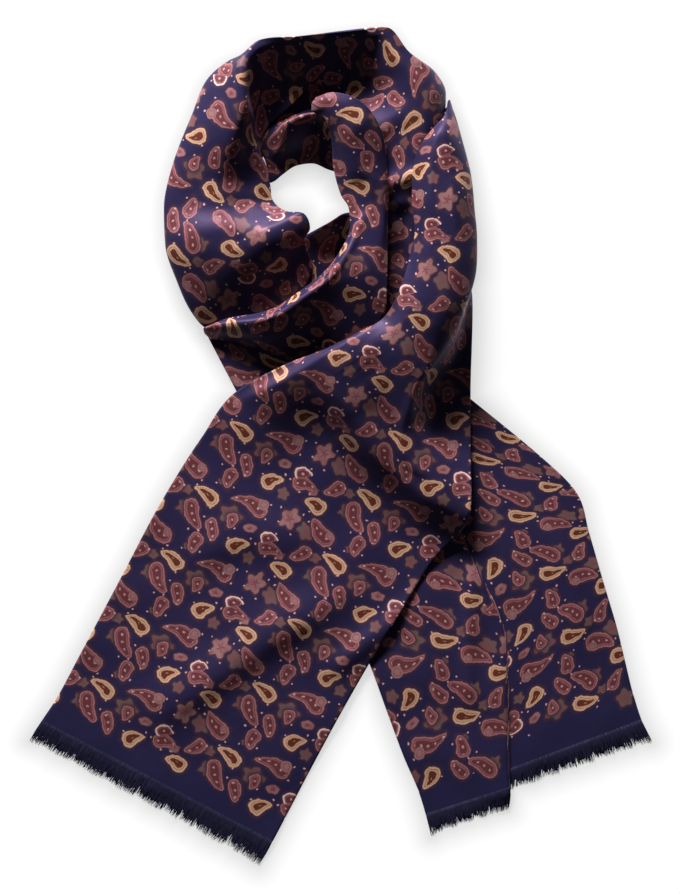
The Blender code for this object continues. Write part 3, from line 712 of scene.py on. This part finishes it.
def added(tree, kind, inputs=(), output=0, **settings):
    """Adds a node with its settings and inputs, and gives one of its outputs."""
    node = tree.nodes.new(kind)
    for name, setting in settings.items():
        setattr(node, name, setting)
    for number, value in enumerate(inputs):
        if value is not None:
            feed(tree, value, node.inputs[number])
    return Value(tree, node.outputs[output])


def kept(tree, name, output=2):
    """What the points keep under a name: a number, or with output 1 a vector."""
    return added(tree, "ShaderNodeAttribute", (), output, attribute_name=name)


class Value:
    """A number or vector in a material's nodes. Arithmetic on it adds the nodes that do the sum."""

    def __init__(self, tree, socket):
        self.tree, self.socket = tree, socket

    def math(self, operation, *others):
        return added(self.tree, "ShaderNodeMath", (self, *others), operation=operation)

    def vector(self, operation, *others, output=0):
        return added(self.tree, "ShaderNodeVectorMath", (self, *others), output, operation=operation)

    def part(self, axis):
        return added(self.tree, "ShaderNodeSeparateXYZ", (self,), axis)

    def __rsub__(self, other):
        return added(self.tree, "ShaderNodeMath", (other, self), operation="SUBTRACT")

    def below(self, edge, soft=0.3):
        """1 where the value is below an edge, 0 above it, with a soft step between."""
        span = (self, edge - soft, edge + soft, 1.0, 0.0)
        return added(self.tree, "ShaderNodeMapRange", span, interpolation_type="SMOOTHSTEP")

    __add__ = partialmethod(math, "ADD")
    __sub__ = partialmethod(math, "SUBTRACT")
    __mul__ = partialmethod(math, "MULTIPLY")
    __truediv__ = partialmethod(math, "DIVIDE")
    root = partialmethod(math, "SQRT")
    least = partialmethod(math, "MINIMUM")
    most = partialmethod(math, "MAXIMUM")
    length = partialmethod(vector, "LENGTH", output=1)


def mixed(factor, first, second, data="RGBA"):
    """A blend of two colours or vectors: the first where the factor is 0, the second where it is 1."""
    skipped, output = (5, 2) if data == "RGBA" else (3, 1)
    inputs = (factor, *[None] * skipped, first, second)
    return added(factor.tree, "ShaderNodeMix", inputs, output, data_type=data)


def wrapped(place, centre):
    """The place moved by whole repeats of the print to lie round a centre."""
    high = [c + r / 2 for c, r in zip(centre, REPEAT)] + [1.0]
    low = [c - r / 2 for c, r in zip(centre, REPEAT)] + [-1.0]
    return place.vector("WRAP", tuple(high), tuple(low))


def nearest(place, motifs):
    """The place as seen by the nearest motif, out of (centre, turn, size, traits...), and its traits.

    It is seen from the motif's middle, along its axes and in its own half sizes. The last value given back
    is how far the place is up the print from that middle.
    """
    best = None
    for centre, turn, size, *traits in motifs:
        turn = np.radians(turn)
        inputs = (wrapped(place, centre), (*centre, 0.0), (0.0, 0.0, turn), (*size, 1.0))
        here = added(place.tree, "ShaderNodeMapping", inputs, vector_type="TEXTURE")
        distance = here.length()
        found = [here, *traits, (size[0] * np.sin(turn), size[1] * np.cos(turn), 0.0)]
        if best is None:
            best, least = found, distance
            continue
        closer = distance.math("LESS_THAN", least)
        best = [mixed(closer, was, now, "VECTOR") for was, now in zip(best, found)]
        least = distance.least(least)
    return best[:-1] + [best[0].vector("DOT_PRODUCT", best[-1], output=1)]


def teardrop(local, size, shape):
    """How far outside a paisley's outline a place lies, and where beside and along its axis."""
    x, y = local.part(0), local.part(1)
    half_width, half_length = size.part(0), size.part(1)
    bend, taper = shape.part(0), shape.part(1)
    past = (y + 0.25).most(0.0)
    x = x - bend * past * past
    narrow = (taper * -0.25 + 1.0 - taper * y).most(0.14)
    wide = x / narrow
    blunt = y.math("ABSOLUTE")
    reach = (wide * wide + blunt * blunt * blunt).root()
    steep = wide / (narrow * half_width)
    flat = blunt * blunt * 1.5 / half_length
    slope = (steep * steep + flat * flat).root().most(0.01)
    return (reach - 1.0) * reach / slope, x * half_width, y * half_length


def leafy(motifs):
    """The motifs of a table of leaves or flowers, with their lobes and colours as traits."""
    return [
        ((m.across, m.up), m.turn, (m.length / 2, m.width / 2), (m.lobes, 0.0, 0.0), m.colour) for m in motifs
    ]


def curled(motifs):
    """The motifs of a table of paisleys, with their half sizes and shapes as traits."""
    halves = [(m.width / 2, m.length / 2) for m in motifs]
    return [
        ((m.across, m.up), m.tail - 90, half, (*half, 0.0), (m.bend, m.taper, float(m.gold)))
        for m, half in zip(motifs, halves)
    ]


def print_colour(place, depth):
    """The print's colour at a place on the cloth, where motifs with their middles past its end are left out.

    Every edge is in millimetres out from a motif's outline, but in a leaf's or flower's half sizes.
    """
    sense = depth.math("SIGN")
    depth = depth.math("ABSOLUTE") - (END_MARK + PRINT_END)

    def kept_whole(rise):
        return (depth - sense * rise).math("GREATER_THAN", 0.0)

    waver = added(place.tree, "ShaderNodeTexNoise", (place, None, 0.16, 2.0, 0.5), 1)
    patchy = added(place.tree, "ShaderNodeTexNoise", (place, None, 0.085, 2.0, 0.6)).math("SUBTRACT", 0.5)
    place = place.vector("ADD", waver.vector("SUBTRACT", (0.5,) * 3).vector("MULTIPLY", (3.6, 3.6, 0.0)))
    colour = mixed(depth.below(6.0, 12.0), GROUND, NAVY)

    local, lobes, leaf, rise = nearest(place, leafy(LEAVES))
    wave = (local.part(0).math("ARCTAN2", local.part(1)) * 5.0).math("COSINE")
    lobe = lobes.part(0)
    reach = local.length() - (wave * lobe + 1.0 - lobe)
    blotch = (patchy * 5.0 + 0.35).least(1.0).most(0.0)
    leaf = mixed(blotch * 0.6, leaf, MAROON)
    shown = kept_whole(rise)
    for edge, soft, ink in ((0.2, 0.25, HALO), (0.0, 0.10, leaf), (-0.60, 0.12, MAROON)):
        colour = mixed(reach.below(edge, soft) * shown, colour, ink)

    local, size, shape, rise = nearest(place, curled(PAISLEYS))
    outside, beside, along = teardrop(local, size, shape)
    kind = shape.part(2)
    dot = (beside * beside + (along + 0.5).math("PINGPONG", 3.6).math("POWER", 2.0)).root()
    ring = outside.below(-2.1) - outside.below(-2.9)
    maroon = mixed(outside.below(-0.85), PINK, MAROON)
    maroon = mixed(outside.below(-3.0, 0.5), maroon, DEEP)
    maroon = mixed(ring * 0.55, maroon, PINK)
    maroon = mixed(dot.below(1.1, 0.5) * outside.below(-2.6), maroon, BLUSH)
    maroon = mixed((kind - 1.0).most(0.0) * (1.0 - outside.below(-1.4)), maroon, CREAM)
    speck = (along * 2.1).math("SINE").math("ABSOLUTE")
    speck = speck * (outside.below(-1.4, 0.4) - outside.below(-2.5, 0.4))
    gold = mixed(speck * 0.7, GOLD, BROWN)
    gold = mixed(outside.below(-3.7, 0.8), gold, BROWN)
    inside = mixed(kind.math("COMPARE", 1.0, 0.5), maroon, gold)
    shown = kept_whole(rise)
    colour = mixed(outside.below(2.4, 2.4) * shown, colour, HALO)
    colour = mixed(outside.below(0.4, 0.4) * shown, colour, inside)

    local, _, petal, rise = nearest(place, leafy(FLOWERS))
    reach = local.length()
    ring = (1.0 - reach.below(0.5, 0.08)) * reach.below(0.72, 0.08)
    shown = kept_whole(rise)
    colour = mixed(reach.below(1.0, 0.10) * shown, colour, petal)
    colour = mixed(ring * shown * 0.6, colour, MAROON)

    bead = None
    for spot in BEADS:
        away = wrapped(place, spot).vector("DISTANCE", (*spot, 0.0), output=1)
        bead = away if bead is None else bead.least(away)
    return mixed(bead.below(0.9, 0.45) * depth.math("GREATER_THAN", 4.0), colour, PEARL)


def new_material(name, settings):
    """A material with a Principled shader and its settings. Gives its node tree and that shader too."""
    made = bpy.data.materials.new(name)
    made.use_nodes = True
    shader = made.node_tree.nodes["Principled BSDF"]
    for socket, value in settings.items():
        shader.inputs[socket].default_value = value
    return made, made.node_tree, shader


def printed_silk(name):
    """The scarf's satin silk, with a fine twill and small creases in its surface.

    Its print stops after the last whole motifs, which reach into the plain border.
    """
    made, tree, shader = new_material(name, SILK)
    place = kept(tree, "cloth", 1).vector("MULTIPLY", (1 / MM,) * 3)
    feed(tree, print_colour(place, kept(tree, "inside")), shader.inputs["Base Color"])
    twill = added(tree, "ShaderNodeTexWave", (place, 1.1, 1.5), 1, bands_direction="DIAGONAL")
    crumple = added(tree, "ShaderNodeTexNoise", (place, None, 0.055, 3.0, 0.5))
    bump = added(tree, "ShaderNodeBump", (0.35, MM, None, twill * 0.02 + crumple * 0.9))
    feed(tree, bump, shader.inputs["Normal"])
    return made


def fringe_yarn():
    made, tree, shader = new_material("fringe_yarn", {"Roughness": 0.75, "Specular IOR Level": 0.15})
    # The strands' tints differ at random; the close band's tints are a painted highlight on its higher
    # ridges.
    colour = mixed(kept(tree, "strand"), YARN, tuple(2.2 * c for c in YARN))
    feed(tree, colour, shader.inputs["Base Color"])
    return made


def tube(rings, start):
    """The faces round a run of closed rings of points, numbered from a start, with both ends shut."""
    number = start + np.arange(rings.shape[0] * rings.shape[1]).reshape(rings.shape[:2])
    sides = cells(np.concatenate([number, number[:, :1]], axis=1))
    return [*sides.tolist(), number[0, ::-1].tolist(), number[-1].tolist()]


def close_yarns(starts, tips, tufts, rng):
    """The fringe's root, where the yarns still lie close: an uneven ridged band's sections, and its tints,
    lighter on its higher ridges as a painted highlight.
    """
    share = np.linspace(0, 1, BAND_STEPS)
    run = run_of(starts)
    root, tip = (spline(run, ends, share * run[-1]) for ends in (starts, tips))
    reach = BAND_REACH + rng.normal(0, 0.05, BAND_STEPS) + 0.06 * np.sin(share * 61) * np.sin(share * 23)
    opening = np.interp(share + 0.006, *tufts[:2]) - np.interp(share - 0.006, *tufts[:2])
    reach *= 1 - 0.13 * np.clip(opening, 0, 5)
    ridge = rng.uniform(0, 0.25, BAND_STEPS)
    upper, lower = [], []
    for part, high in BAND_FORM:
        point = root + (tip - root) * (part * (reach if part > 0 else np.ones(BAND_STEPS)))[:, None]
        point[:, 2] = root[:, 2] * high + (ridge - 0.1) * min(4 * max(part, 0), 1)
        upper.append(point)
        lower.append(np.column_stack([point[:, :2], np.minimum(0.1, point[:, 2] - 0.1)]))
    rings = np.stack(upper + lower[::-1], axis=1)
    # The tint rises with each ridge's height: a painted highlight on the raised yarns.
    return rings, np.repeat(0.35 + 1.5 * ridge, rings.shape[1])


def fringe(name, starts, tips, tufts, finish, seed):
    """A row of yarn ends from the hem (starts) to the tips: thin strands that lean together in tufts."""
    rng = np.random.default_rng(seed)
    tips, tufts = np.array(tips, float), np.array(tufts, float).T
    run = run_of(starts)
    edge = unit(starts[-1] - starts[0])
    count = int(run[-1] / STRAND_PITCH)
    share = np.clip((np.arange(count) + rng.uniform(-0.5, 0.5, count)) / (count - 1), 0.0, 1.0)
    root, tip = (spline(run, ends, share * run[-1]) for ends in (starts, tips))
    slant = np.interp(share, *tufts[:2]) + rng.normal(0, 0.5, count)
    slant *= np.minimum(1, 8 * np.minimum(share, 1 - share) + 0.15)
    way = (tip - root) * (np.interp(share, tufts[0], tufts[2]) * rng.uniform(0.80, 1.04, count))[:, None]

    turns = np.arange(STRAND_SIDES) * 2 * np.pi / STRAND_SIDES
    section = np.cos(turns)[:, None] * edge + np.sin(turns)[:, None] * np.array([0, 0, 1.0])
    part = np.linspace(0, 1, STRAND_STEPS + 1)
    yarns = [close_yarns(starts, tips, tufts, rng)]
    for k in range(count):
        curl, thick, height = rng.normal(0, 0.5), rng.uniform(0.25, 0.45), root[k][2] - rng.uniform(0.1, 0.35)
        along = slant[k] * part**2 + curl * np.sin(np.pi * part)
        middle = root[k] + np.outer(part * 1.06 - 0.06, way[k]) + np.outer(along, edge)
        middle[:, 2] = np.maximum(height * (1 - 0.7 * part), 0.35) + 0.15 * np.sin(5 * part + k) * part
        radius = thick * (1 - 0.6 * part**3)
        rings = middle[:, None] + radius[:, None, None] * section
        yarns.append((rings, np.full(rings.shape[0] * rings.shape[1], rng.uniform(0, 1))))

    points, faces = [], []
    for rings, _ in yarns:
        faces += tube(rings, len(points))
        points.extend(rings.reshape(-1, 3))
    points = np.array(points)
    points[:, 2] = np.maximum(points[:, 2], LOWEST)
    made = solid(name, points, faces, finish)
    keep(made, "strand", np.concatenate([tint for _, tint in yarns]))
    return made


def shaded_floor(finish, cloths):
    """A floor that keeps, on its points, how much its glow is dimmed near the cloth: a painted soft shadow.
    """
    plan = surface(cloths, 0)
    low, high = FLOOR_EDGES
    across, along = (np.concatenate([low, np.arange(-n, n + 0.0001, FLOOR_STEP), high]) for n in (0.36, 0.48))
    points = np.array([(x, y, 0) for y in along for x in across])
    away = np.array([plan.find_nearest(point)[3] for point in points.tolist()])
    faces = cells(np.arange(len(points)).reshape(len(along), len(across)))
    floor = solid("floor", points / MM, faces, finish)
    keep(floor, "shade", np.maximum(1 - away / SHADE_REACH, 0) ** 1.8)
    return floor


def studio(cloths):
    """A pale glowing floor with a painted soft shadow round the cloth, one large soft light from behind, a
    little fill and a camera straight above.
    """
    scene = bpy.context.scene
    scene.view_settings.view_transform = "Standard"
    scene.world = bpy.data.worlds.new("studio")
    scene.world.use_nodes = True
    background = scene.world.node_tree.nodes["Background"]
    background.inputs["Color"].default_value = (1, 1, 1, 1)
    background.inputs["Strength"].default_value = FILL

    made, tree, shader = new_material("floor_paper", {"Roughness": 0.9, "Emission Strength": FLOOR_GLOW})
    # The floor's glow is dimmed near the cloth by the kept shade: a painted soft shadow, not one that the key
    # casts.
    feed(tree, mixed(kept(tree, "shade"), (1.0, 1.0, 1.0), FLOOR_SHADE), shader.inputs["Emission Color"])
    grain = added(tree, "ShaderNodeTexNoise", (None, None, 60.0, 2.0, 0.5))
    feed(tree, mixed(grain, (0.08,) * 3, (0.09,) * 3), shader.inputs["Base Color"])
    shaded_floor(made, cloths)

    light = bpy.data.lights.new("key", "AREA")
    light.shape = "RECTANGLE"
    light.size, light.size_y = KEY_SIZE
    light.energy, light.color = KEY_POWER, (1.0, 0.99, 0.98)
    lamp = bpy.data.objects.new("key", light)
    lamp.location = KEY_PLACE
    lamp.rotation_euler = (-Vector(KEY_PLACE)).to_track_quat("-Z", "Y").to_euler()

    camera = bpy.data.cameras.new("camera")
    camera.type = "PERSP"
    camera.sensor_fit, camera.sensor_width = "HORIZONTAL", 36
    camera.lens = camera.sensor_width * CAMERA_HEIGHT / FRAME_WIDTH
    camera.clip_end = 2 * CAMERA_HEIGHT
    scene.camera = bpy.data.objects.new("camera", camera)
    scene.camera.location = (0, FRAME_MIDDLE, CAMERA_HEIGHT)
    for made in (lamp, scene.camera):
        scene.collection.objects.link(made)


def stand_for(piece, nodes):
    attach(piece, "root")
    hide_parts(*nodes.split())


def tail(name, grid, flat, corner, facing, silk, border):
    """A tail's printed cloth and its plain hem, cut at the row where its print ends, each with its grid."""
    split = int(np.linalg.norm(grid[:, 0, :2] - corner[:2], axis=1).argmin())
    along = np.cumsum(np.linalg.norm(np.diff(grid, axis=0, prepend=grid[:1]), axis=2), axis=0)
    inside = facing * (END_MARK + along - along[split])
    cloth = name + "_cloth", slice(split, None), silk, (0,)
    hem = name + "_hem", slice(split + 1), border, (0, -1)
    return {
        part: (shell(part, grid[rows], flat[rows], finish, inside[rows], joints), grid[rows])
        for part, rows, finish, joints in (cloth, hem)
    }


def build():
    """Every piece: the sheets with their grids, the two fringes and the layers inside the ring."""
    silk, border, yarn = printed_silk("printed_silk"), printed_silk("plain_border"), fringe_yarn()

    front = creased(front_grid(1, 18, 2.3, 112), FRONT_FOLDS, 1.6, 1)
    flat = anchored(front, cloth_coordinates(front, 1, (70, 14)), (-218, -195.5), -28.5, (0, 0))
    sheets = tail("front", front, flat, FRONT_FLAT[2].left, 1, silk, border)

    stretches = {
        "collar_cloth": (creased(fine_loft(COLLAR, 0, 24, 2.3, 60), COLLAR_FOLDS, 0.8, 2), -1, (64, 12)),
        "swirl_cloth": (creased(fine_loft(SWIRL, 0, 15, 2.2, 48), SWIRL_FOLDS, 0.6, 3), 1, (64, 12)),
        "rim_cloth": (fine_loft(INNER_BACK, 0, 6, 2.5, 40), -1, (64, 12)),
        "pocket_cloth": (fine_loft(POCKET, 0, 5, 2.5, 20), 1, (24, 10)),
    }
    for name, (grid, facing, coarse) in stretches.items():
        sheets[name] = shell(name, grid, cloth_coordinates(grid, facing, coarse), silk), grid
    ring = ["front_cloth", *stretches]

    rear = creased(rear_grid(1, 10, 2.5, 44, 54), REAR_FOLDS, 1.2, 4)
    flat = anchored(rear, strip_coordinates(rear, 1), (70.5, -254), 196.5, (55.3, -6.6))
    flat[:, 44:] += REAR_SLIP
    sheets |= tail("rear", rear, flat, REAR[2].left, -1, silk, border)

    tips = np.linspace(FRONT_FLAT[0].left, FRONT_FLAT[0].right, front.shape[1])
    front_fringe = fringe("front_strands", front[0], tips, FRONT_TUFTS, yarn, 5)
    tips = rear_grid(0, 1, 30, 44, 54)[0]
    rear_fringe = fringe("rear_strands", rear[0], tips, REAR_TUFTS, yarn, 6)
    inner = hidden_layers("inner_wraps", [sheets[name][0] for name in ring], silk)
    return sheets, front_fringe, rear_fringe, inner


sheets, front_fringe, rear_fringe, inner = build()
studio([piece for piece, _ in sheets.values()] + [front_fringe, rear_fringe])

for name, (slot, nodes, held, rests_on) in SHEETS.items():
    piece, grid = sheets[name]
    stand_for(piece, nodes)
stand_for(front_fringe, "front_fringe")
stand_for(rear_fringe, "rear_fringe")
stand_for(inner, "hidden_layers")
